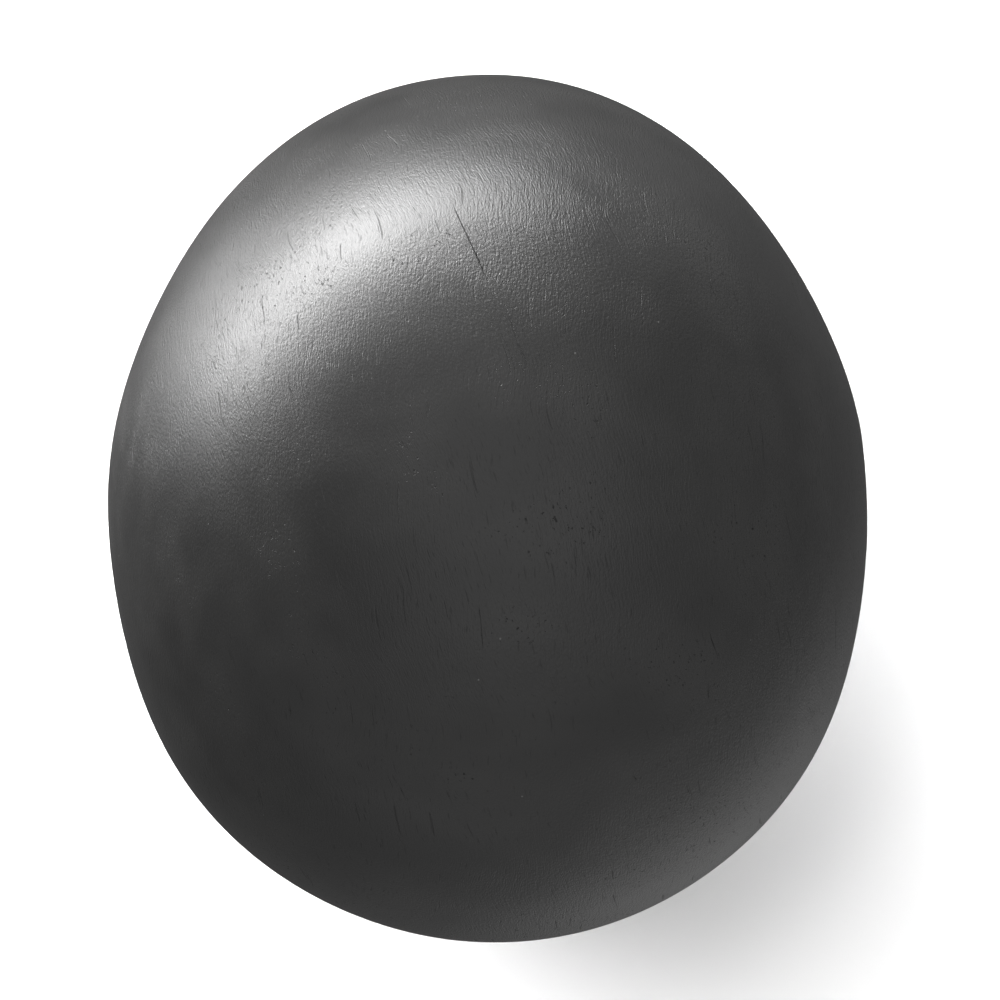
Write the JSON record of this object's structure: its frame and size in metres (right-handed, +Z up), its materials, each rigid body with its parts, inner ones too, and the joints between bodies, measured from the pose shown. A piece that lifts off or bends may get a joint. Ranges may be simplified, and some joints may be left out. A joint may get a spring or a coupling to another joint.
{
  "type": "lawn bowl",
  "caption": "Traditional blackened wooden lawn bowl, wider across its running sole than along its turning line, with a pinned brass disc let into each flank.",
  "frame": {"origin": "lowest point of the running sole, where the bowl touches the green", "axes": "+X along the line the bowl was turned on, towards the plain flank with the larger disc; -X towards the bias flank; +Z up; the bowl rolls along Y"},
  "size_m": [0.1092, 0.127, 0.127],
  "materials": {
    "blackened_wood": "satin",
    "aged_brass": "satin"
  },
  "bodies": {
    "root": {"body": "blackened_wood", "large_mount": "aged_brass", "small_mount": "aged_brass", "large_mount_pin_1": "aged_brass", "large_mount_pin_2": "aged_brass", "large_mount_pin_3": "aged_brass", "large_mount_pin_4": "aged_brass", "small_mount_pin_1": "aged_brass", "small_mount_pin_2": "aged_brass", "small_mount_pin_3": "aged_brass"}
  },
  "joints": []
}
